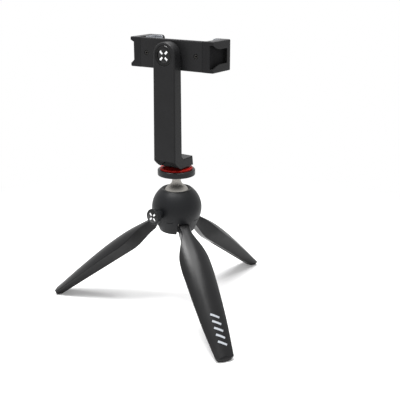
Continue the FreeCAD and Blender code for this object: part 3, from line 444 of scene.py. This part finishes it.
# The platform disc's nylon, machined after moulding: smoother, so its rim takes a brighter line
discNylon = surface("machinedNylon", "#1c1c1d", "#212122", 0.34, 0.04, 0.3, 0.004,
                    settings={"IOR": 1.5, "Specular IOR Level": 0.2})
print("materials are made")


# Nodes that keep their own solid, by finish
finishes = {
    moulded: ["clamp_cover"],
    acetal: ["ball_liner", "ball_seat", "release_fork", "pinion", "rack_left", "rack_right", "pivot_washer",
             "leg_washers"],
    footRubber: ["foot_pad_1", "foot_pad_2", "foot_pad_3", "leg_rail_1", "leg_rail_2", "leg_rail_3"],
    greyRubber: ["jaw_pad_left", "jaw_pad_right", "rest_pad"],
    satinSteel: ["ball_stud"],
    platedSteel: ["leg_pin_1", "leg_pin_2", "leg_pin_3", "pivot_bolt", "pivot_nut", "seat_springs"],
    brassTurned: ["thread_insert"],
}
for material, names in finishes.items():
    for name in names:
        nodes[name].data.materials.clear()
        nodes[name].data.materials.append(material)

# Moulded solids whose sharp edges are broken: edge in millimetres, limit in degrees
brokenEdges = [
    {"node": "bracket", "slot": "body_plastic", "material": moulded, "edge": 0.25, "limit": 35},
    {"node": "clamp_body", "slot": "body_plastic", "material": moulded, "edge": 0.2, "limit": 35},
    {"node": "jaw_left", "slot": "jaw_plastic", "material": jawPlastic, "edge": 0.25, "limit": 35},
    {"node": "jaw_right", "slot": "jaw_plastic", "material": jawPlastic, "edge": 0.25, "limit": 35},
    {"node": "head_shell", "slot": "body_plastic", "material": housing, "edge": 0.1, "limit": 40},
    {"node": "hub_base", "slot": "body_plastic", "material": housing, "edge": 0.4, "limit": 40},
    {"node": "button_cap", "slot": "button_plastic", "material": housing, "edge": 0.12, "limit": 40},
    {"node": "platform_disc", "slot": "body_plastic", "material": discNylon, "edge": 0.3, "limit": 30},
    {"node": "leg_shell_1", "slot": "body_plastic", "material": legNylon, "edge": 0.35, "limit": 25},
    {"node": "leg_shell_2", "slot": "body_plastic", "material": legNylon, "edge": 0.35, "limit": 25},
    {"node": "leg_shell_3", "slot": "body_plastic", "material": legNylon, "edge": 0.35, "limit": 25},
]
for part in brokenEdges:
    softEdged(part)


# Gives the faces that a test picks on a piece a second material, here the darker coarse nylon as painted shade;
# the test takes a place in mm and a normal
def coverFaces(name, material, test):
    mesh = bpy.data.objects[name].data
    mesh.materials.append(material)
    for polygon in mesh.polygons:
        if test(polygon.center / mm, polygon.normal):
            polygon.material_index = 1


# Where the darker coarse nylon goes as painted shade: under the heel, inside the ball's mouth and in the jaw
# channels
hollows = {
    "heelHigh": 136.0, "heelFacing": -0.25,
    "mouthReach": 10.9, "mouthLow": 105.0,
    "channelNear": -6.15, "channelStop": 14.45, "channelBack": 37.55, "channelEnd": 40.75, "channelHalf": 9.45,
}


def underHeel(place, normal):
    return place.z < hollows["heelHigh"] and normal.z < hollows["heelFacing"]


def atMouth(place, normal):
    return math.hypot(place.x, place.y) < hollows["mouthReach"] and place.z > hollows["mouthLow"]


def inChannel(place, normal):
    across = hollows["channelBack"] < abs(place.x) < hollows["channelEnd"]
    along = hollows["channelNear"] < place.y < hollows["channelStop"]
    return across and along and abs(place.z - pivotHeight) < hollows["channelHalf"]


# Painted shade: these hollows get the darker coarse nylon so that they read as shaded
coverFaces("skin_bracket", coarseNylonPaintedShade, underHeel)
coverFaces("skin_head_shell", coarseNylonPaintedShade, atMouth)
coverFaces("skin_jaw_left", coarseNylonPaintedShade, inChannel)
coverFaces("skin_jaw_right", coarseNylonPaintedShade, inChannel)
print("edges are broken")

# Platform pad: a red grip ring round a rough core that the bracket's heel sits on, the core drawn in darker red
# as painted shade
platformPad = {
    "low": (0, 0, 124.6), "sides": 120,
    "ring": [(11.2, 0.02), (13.9, 0.02), (13.98, 0.2), (13.95, 1.2), (13.7, 1.46), (13.3, 1.54), (11.5, 1.74),
             (11.2, 1.5), (11.2, 0.02)],
    "core": [(3.4, 0.02), (10.9, 0.02), (10.9, 1.5), (10.6, 1.8), (8.6, 3.0), (8.2, 3.06), (3.4, 3.06),
             (3.4, 0.02)],
}
padPlace = {"centre": platformPad["low"], "axis": (0, 0, 1), "count": platformPad["sides"], "capped": False}
ringMesh = turnedMesh("ring_pad", platformPad["ring"], **padPlace)
settlePiece(linkedPiece("ring_pad", ringMesh), redRubber, "ball", ["platform_pad"])
coreMesh = turnedMesh("core_pad", platformPad["core"], **padPlace)
# Painted shade: the core's red is darker than the ring's where the heel shades it
settlePiece(linkedPiece("core_pad", coreMesh), mattRedPaintedShade, "ball")

# Cap over the pivot: a turned button with two rings and a dished face
pivotCap = {
    "face": (0, -16.3, pivotHeight), "dish": 0.3, "sides": 96,
    "profile": [(8.16, -1.78), (8.16, -0.3), (7.86, 0.0), (7.3, 0.0), (7.16, -0.3), (6.74, -0.3), (6.6, 0.0),
                (6.3, 0.0), (6.14, -0.4), (5.62, -0.4), (5.5, -0.3), (0.02, -0.3)],
}
capMesh = turnedMesh("cap_pivot", pivotCap["profile"], pivotCap["face"], (0, -1, 0), pivotCap["sides"])
settlePiece(linkedPiece("cap_pivot", capMesh), glossInlay, "bracket", ["pivot_cap"])

# Inlay in the button's face
buttonInlay = {
    "turn": -96.0, "reach": 30.7, "height": 88.9, "thick": 0.22, "sides": 96,
    "profile": [(5.52, 0.01), (5.52, 0.15), (5.4, 0.22), (0.02, 0.22)],
}
buttonAngle = math.radians(buttonInlay["turn"])
buttonAxis = (math.cos(buttonAngle), math.sin(buttonAngle), 0)
inlaySpot = (buttonAxis[0] * buttonInlay["reach"], buttonAxis[1] * buttonInlay["reach"], buttonInlay["height"])
inlayMesh = turnedMesh("inlay_button", buttonInlay["profile"], inlaySpot, buttonAxis, buttonInlay["sides"])
settlePiece(linkedPiece("inlay_button", inlayMesh), glossInlay, "button")

# Index marks: short bars set round a ring, drawn in the plane of X and Y
sizes = {"Count": "Int", "Ring": "Float", "Bar": "Vector", "Cuts": "Int"}
ringTree, size = startTree("barsRoundRing", sizes)
ring = addNode(ringTree, "GeometryNodeMeshCircle", inputs={
    "Vertices": size.outputs["Count"], "Radius": size.outputs["Ring"]})
number = addNode(ringTree, "GeometryNodeInputIndex")
step = addNode(ringTree, "ShaderNodeMath", {"operation": "DIVIDE"},
               {0: 2 * math.pi, 1: size.outputs["Count"]})
angle = addNode(ringTree, "ShaderNodeMath", {"operation": "MULTIPLY"},
                {0: number.outputs[0], 1: step.outputs[0]})
about = addNode(ringTree, "ShaderNodeCombineXYZ", inputs={"Z": angle.outputs[0]})
turned = addNode(ringTree, "FunctionNodeEulerToRotation", inputs={0: about.outputs[0]})
bar = addNode(ringTree, "GeometryNodeMeshCube", inputs={
    "Size": size.outputs["Bar"], "Vertices X": size.outputs["Cuts"], "Vertices Y": 2, "Vertices Z": 2})
marks = addNode(ringTree, "GeometryNodeInstanceOnPoints", inputs={
    "Points": ring.outputs[0], "Instance": bar.outputs[0], "Rotation": turned.outputs[0]})
endTree(ringTree, size, marks.outputs[0])

capMarks = {
    "Count": 4, "Ring": 3.4 * mm, "Bar": metres(3.0, 1.6, markThick), "Cuts": 2,
    "Place": metres(0, pivotCap["face"][1] + pivotCap["dish"] - markThick / 2, pivotHeight),
    "Turn": (math.pi / 2, math.pi / 4, 0),
}
growPiece("marks_cap", ringTree, capMarks, whiteInk, "bracket")
markReach = buttonInlay["reach"] + buttonInlay["thick"] + markThick / 2
buttonTurn = Vector(buttonAxis).to_track_quat("Z", "Y") @ Matrix.Rotation(math.pi / 4, 3, "Z").to_quaternion()
buttonMarks = {
    "Count": 4, "Ring": 2.75 * mm, "Bar": metres(2.6, 1.35, markThick), "Cuts": 2,
    "Place": metres(buttonAxis[0] * markReach, buttonAxis[1] * markReach, buttonInlay["height"]),
    "Turn": tuple(buttonTurn.to_euler()),
}
growPiece("marks_button", ringTree, buttonMarks, whiteInk, "button")

# Rows of bars: ribs on rubber, drawn along X
sizes = {"Count": "Int", "Pitch": "Vector", "Bar": "Vector", "Cuts": "Int"}
rowTree, size = startTree("barsInRow", sizes)
row = addNode(rowTree, "GeometryNodeMeshLine", inputs={
    "Count": size.outputs["Count"], "Start Location": (0, 0, 0), "Offset": size.outputs["Pitch"]})
bar = addNode(rowTree, "GeometryNodeMeshCube", inputs={
    "Size": size.outputs["Bar"], "Vertices X": size.outputs["Cuts"], "Vertices Y": 2, "Vertices Z": 2})
ribs = addNode(rowTree, "GeometryNodeInstanceOnPoints", inputs={
    "Points": row.outputs[0], "Instance": bar.outputs[0]})
endTree(rowTree, size, ribs.outputs[0])

padRib = {"count": 9, "pitch": 2.2, "bar": (0.5, 12.2, 0.7), "reach": 32.2, "depth": 11.1}
lowestRib = pivotHeight - padRib["pitch"] * (padRib["count"] - 1) / 2
for side, word in ((-1, "left"), (1, "right")):
    values = {
        "Count": padRib["count"], "Pitch": metres(0, 0, padRib["pitch"]), "Bar": metres(*padRib["bar"]),
        "Cuts": 2, "Place": metres(side * padRib["reach"], padRib["depth"], lowestRib),
    }
    growPiece("ribs_pad_" + word, rowTree, values, greyRubber, "jaw_" + word)

# Legs: X runs down the open leg from its pin, and Z stands out from its rounded face
legFrame = {"pinReach": 16.0, "pinHeight": 80.8, "slope": 35.1, "azimuths": (-36.0, 84.0, 204.0)}


def legMatrix(number):
    turn = Matrix.Rotation(math.radians(legFrame["azimuths"][number - 1]), 4, "Z")
    pin = Matrix.Translation(metres(legFrame["pinReach"], 0, legFrame["pinHeight"]))
    return turn @ pin @ Matrix.Rotation(math.radians(legFrame["slope"]), 4, "Y")


railRib = {"count": 23, "pitch": 2.6, "bar": (0.9, 3.6, 0.5), "start": (51.4, 0, -12.9)}
for number in (1, 2, 3):
    along = legMatrix(number)
    values = {
        "Count": railRib["count"], "Pitch": metres(railRib["pitch"], 0, 0), "Bar": metres(*railRib["bar"]),
        "Cuts": 2, "Place": tuple(along @ Vector(metres(*railRib["start"]))), "Turn": tuple(along.to_euler()),
    }
    growPiece(f"ribs_rail_{number}", rowTree, values, footRubber, f"leg_{number}")
print("marks and ribs are grown")

# Index column printed on the front leg: slanted bars laid onto its rounded face
sizes = {"Count": "Int", "Pitch": "Vector", "Bar": "Vector", "Cuts": "Int", "Slant": "Vector",
         "Out": "Vector", "Reach": "Float", "Leg": "Object"}
printTree, size = startTree("barsOnFace", sizes)
row = addNode(printTree, "GeometryNodeMeshLine", inputs={
    "Count": size.outputs["Count"], "Start Location": (0, 0, 0), "Offset": size.outputs["Pitch"]})
slant = addNode(printTree, "FunctionNodeEulerToRotation", inputs={0: size.outputs["Slant"]})
bar = addNode(printTree, "GeometryNodeMeshCube", inputs={
    "Size": size.outputs["Bar"], "Vertices X": size.outputs["Cuts"], "Vertices Y": 2, "Vertices Z": 2})
strokes = addNode(printTree, "GeometryNodeInstanceOnPoints", inputs={
    "Points": row.outputs[0], "Instance": bar.outputs[0], "Rotation": slant.outputs[0]})
flat = addNode(printTree, "GeometryNodeRealizeInstances", inputs={"Geometry": strokes.outputs[0]})
where = addNode(printTree, "GeometryNodeInputPosition")
parts = addNode(printTree, "ShaderNodeSeparateXYZ", inputs={0: where.outputs[0]})
kept = printTree.nodes.new("GeometryNodeCaptureAttribute")
kept.capture_items.new("FLOAT", "Height")
printTree.links.new(flat.outputs[0], kept.inputs["Geometry"])
printTree.links.new(parts.outputs[2], kept.inputs["Height"])
turn = addNode(printTree, "FunctionNodeEulerToRotation", inputs={0: size.outputs["Turn"]})
above = addNode(printTree, "GeometryNodeTransform", inputs={
    "Geometry": kept.outputs["Geometry"], "Translation": size.outputs["Place"], "Rotation": turn.outputs[0]})
leg = addNode(printTree, "GeometryNodeObjectInfo", inputs={"Object": size.outputs["Leg"]})
inward = addNode(printTree, "ShaderNodeVectorMath", {"operation": "SCALE"}, {
    0: size.outputs["Out"], "Scale": -1.0})
hit = addNode(printTree, "GeometryNodeRaycast", inputs={
    "Target Geometry": leg.outputs["Geometry"], "Ray Direction": inward.outputs[0],
    "Ray Length": size.outputs["Reach"]})
stand = addNode(printTree, "ShaderNodeVectorMath", {"operation": "SCALE"}, {
    0: size.outputs["Out"], "Scale": kept.outputs["Height"]})
landing = addNode(printTree, "ShaderNodeVectorMath", {"operation": "ADD"}, {
    0: hit.outputs["Hit Position"], 1: stand.outputs[0]})
laid = addNode(printTree, "GeometryNodeSetPosition", inputs={
    "Geometry": above.outputs[0], "Selection": hit.outputs["Is Hit"], "Position": landing.outputs[0]})
coloured = addNode(printTree, "GeometryNodeSetMaterial", inputs={
    "Geometry": laid.outputs[0], "Material": size.outputs["Material"]})
addNode(printTree, "NodeGroupOutput", inputs={"Geometry": coloured.outputs[0]})

legPrint = {
    "count": 5, "pitch": 5.6, "length": 7.6, "width": 1.7, "slant": 1.05, "cuts": 14,
    "start": (91.0, 0.8, 12.0), "reach": 50.0,
}
frontLeg = legMatrix(1)
values = {
    "Count": legPrint["count"], "Pitch": metres(legPrint["pitch"], 0, 0),
    "Bar": metres(legPrint["length"], legPrint["width"], markThick), "Cuts": legPrint["cuts"],
    "Slant": (0, 0, legPrint["slant"]), "Out": tuple(frontLeg.to_3x3() @ Vector((0, 0, 1))),
    "Reach": legPrint["reach"] * mm, "Leg": bpy.data.objects["skin_leg_shell_1"],
    "Place": tuple(frontLeg @ Vector(metres(*legPrint["start"]))), "Turn": tuple(frontLeg.to_euler()),
}
growPiece("print_leg_1", printTree, values, greyInk, "leg_1")

# Extension springs of the jaws: close coils with a straight tail to the post
sizes = {"Turns": "Float", "Coil": "Float", "Length": "Float", "Wire": "Float", "Tail": "Vector",
         "TailStart": "Vector", "TailBend": "Vector", "TailEase": "Vector"}
springTree, size = startTree("coilSpring", sizes)
coil = addNode(springTree, "GeometryNodeCurveSpiral", inputs={
    "Resolution": 14, "Rotations": size.outputs["Turns"], "Start Radius": size.outputs["Coil"],
    "End Radius": size.outputs["Coil"], "Height": size.outputs["Length"]})
tail = addNode(springTree, "GeometryNodeCurvePrimitiveBezierSegment", inputs={
    "Resolution": 10, "Start": size.outputs["TailStart"], "Start Handle": size.outputs["TailBend"],
    "End Handle": size.outputs["TailEase"], "End": size.outputs["Tail"]})
path = addNode(springTree, "GeometryNodeJoinGeometry")
springTree.links.new(coil.outputs[0], path.inputs[0])
springTree.links.new(tail.outputs[0], path.inputs[0])
wire = addNode(springTree, "GeometryNodeCurvePrimitiveCircle", inputs={
    "Resolution": 8, "Radius": size.outputs["Wire"]})
wound = addNode(springTree, "GeometryNodeCurveToMesh", inputs={
    "Curve": path.outputs[0], "Profile Curve": wire.outputs[0], "Fill Caps": True})
endTree(springTree, size, wound.outputs[0])

jawSpring = {
    "coil": 1.43, "wire": 0.26, "length": 8.5, "turns": 15.0, "tail": 10.4,
    "bend": (1.2, 0.3), "ease": 0.7,        # how the wire leaves the last coil and reaches the middle
    "from": 15.75, "depth": -2.3, "rise": 8.0,
}
for side, word in ((-1, "left"), (1, "right")):
    values = {
        "Turns": jawSpring["turns"], "Coil": jawSpring["coil"] * mm, "Length": jawSpring["length"] * mm,
        "Wire": jawSpring["wire"] * mm, "Tail": metres(0, 0, jawSpring["tail"]),
        "TailStart": metres(jawSpring["coil"], 0, jawSpring["length"]),
        "TailBend": metres(jawSpring["coil"], jawSpring["bend"][0], jawSpring["length"] + jawSpring["bend"][1]),
        "TailEase": metres(0, 0, jawSpring["length"] + jawSpring["ease"]),
        "Place": metres(-side * jawSpring["from"], jawSpring["depth"], pivotHeight - side * jawSpring["rise"]),
        "Turn": (0, -side * math.pi / 2, 0),
    }
    growPiece("coil_spring_" + word, springTree, values, platedSteel, "clamp", ["jaw_spring_" + word])

# Threaded screw of the platform: a core, a flange and a ridge wound round it
sizes = {"Turns": "Float", "Core": "Float", "Crest": "Float", "Ridge": "Float", "Length": "Float",
         "Flange": "Float", "FlangeThick": "Float"}
screwTree, size = startTree("threadedScrew", sizes)
core = addNode(screwTree, "GeometryNodeMeshCylinder", inputs={
    "Vertices": 48, "Radius": size.outputs["Core"], "Depth": size.outputs["Length"]})
half = addNode(screwTree, "ShaderNodeMath", {"operation": "MULTIPLY"}, {0: size.outputs["Length"], 1: 0.5})
lift = addNode(screwTree, "ShaderNodeCombineXYZ", inputs={"Z": half.outputs[0]})
raised = addNode(screwTree, "GeometryNodeTransform", inputs={
    "Geometry": core.outputs[0], "Translation": lift.outputs[0]})
flange = addNode(screwTree, "GeometryNodeMeshCylinder", inputs={
    "Vertices": 64, "Radius": size.outputs["Flange"], "Depth": size.outputs["FlangeThick"]})
halfFlange = addNode(screwTree, "ShaderNodeMath", {"operation": "MULTIPLY"}, {
    0: size.outputs["FlangeThick"], 1: 0.5})
flangeLift = addNode(screwTree, "ShaderNodeCombineXYZ", inputs={"Z": halfFlange.outputs[0]})
flangeUp = addNode(screwTree, "GeometryNodeTransform", inputs={
    "Geometry": flange.outputs[0], "Translation": flangeLift.outputs[0]})
helix = addNode(screwTree, "GeometryNodeCurveSpiral", inputs={
    "Resolution": 32, "Rotations": size.outputs["Turns"], "Start Radius": size.outputs["Crest"],
    "End Radius": size.outputs["Crest"], "Height": size.outputs["Length"]})
tooth = addNode(screwTree, "GeometryNodeCurvePrimitiveCircle", inputs={
    "Resolution": 4, "Radius": size.outputs["Ridge"]})
ridge = addNode(screwTree, "GeometryNodeCurveToMesh", inputs={
    "Curve": helix.outputs[0], "Profile Curve": tooth.outputs[0], "Fill Caps": True})
whole = addNode(screwTree, "GeometryNodeJoinGeometry")
for piece in (raised, flangeUp, ridge):
    screwTree.links.new(piece.outputs[0], whole.inputs[0])
endTree(screwTree, size, whole.outputs[0])
mountScrew = {
    "Turns": 6.5, "Core": 2.6 * mm, "Crest": 2.62 * mm, "Ridge": 0.44 * mm, "Length": 9.2 * mm,
    "Flange": 5.5 * mm, "FlangeThick": 1.4 * mm, "Place": metres(0, 0, 123.22),
}
growPiece("screw_mount", screwTree, mountScrew, platedSteel, "ball", ["mount_screw"], crease=50)

# Cap screws of the clamp body, set side by side
capScrew = {
    "profile": [(0.98, -9.0), (0.98, -1.1), (1.64, -1.1), (1.64, -0.34), (1.52, -0.12), (1.3, -0.04),
                (1.04, -0.06), (0.94, -0.14), (0.8, -0.18, "hex"), (0.8, -1.9, "hex"), (0.02, -1.95)],
    "sides": 60, "depth": -6.4, "reach": 24.6,
}
screwMesh = turnedMesh("capScrew", capScrew["profile"], (0, 0, 0), (0, -1, 0), capScrew["sides"])
screwModel = bpy.data.objects.new("capScrew", screwMesh)
sizes = {"Count": "Int", "Pitch": "Vector", "Model": "Object"}
pairTree, size = startTree("screwsInRow", sizes)
row = addNode(pairTree, "GeometryNodeMeshLine", inputs={
    "Count": size.outputs["Count"], "Start Location": (0, 0, 0), "Offset": size.outputs["Pitch"]})
model = addNode(pairTree, "GeometryNodeObjectInfo", inputs={"Object": size.outputs["Model"]})
pair = addNode(pairTree, "GeometryNodeInstanceOnPoints", inputs={
    "Points": row.outputs[0], "Instance": model.outputs["Geometry"]})
endTree(pairTree, size, pair.outputs[0])
bodyScrews = {
    "Count": 2, "Pitch": metres(2 * capScrew["reach"], 0, 0), "Model": screwModel,
    "Place": metres(-capScrew["reach"], capScrew["depth"], pivotHeight),
}
growPiece("screws_clamp", pairTree, bodyScrews, blackSteel, "clamp", ["body_screws"], crease=35)
bpy.data.objects.remove(screwModel)
print("springs and screws are grown")
